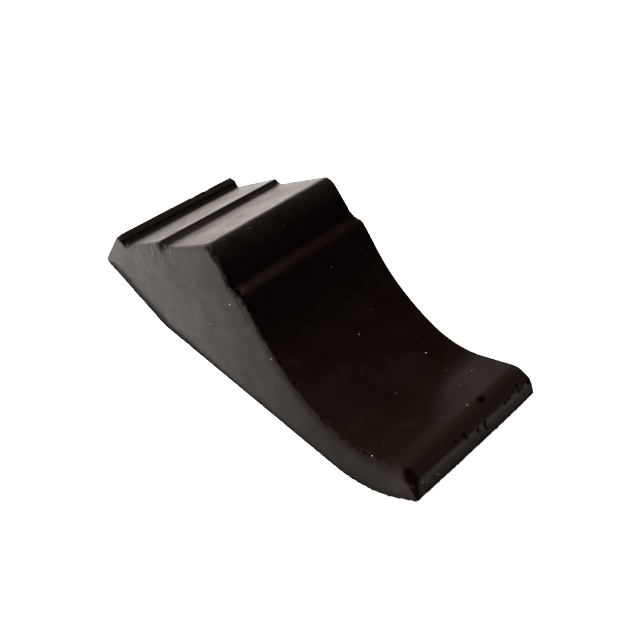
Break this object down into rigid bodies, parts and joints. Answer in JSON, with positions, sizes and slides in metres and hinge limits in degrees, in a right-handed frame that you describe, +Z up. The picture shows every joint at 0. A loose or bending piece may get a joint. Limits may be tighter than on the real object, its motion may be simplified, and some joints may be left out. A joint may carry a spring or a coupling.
{
  "type": "wheel chock",
  "caption": "Low solid rubber wedge with a stepped back, a flat sole and a separately faced concave seat that stops a parked tyre from rolling.",
  "frame": {"origin": "on the ground, under the middle of the chock's box", "axes": "+X from the thick heel to the thin toe, +Y across the width, +Z up"},
  "size_m": [0.2579, 0.09, 0.09],
  "materials": {
    "body_rubber": "satin moulded black rubber, lightly scuffed",
    "facing_rubber": "smooth satin black-brown rubber with fine dust"
  },
  "bodies": {
    "root": {"rubber_body": "body_rubber", "seat_facing": "facing_rubber"}
  },
  "joints": []
}
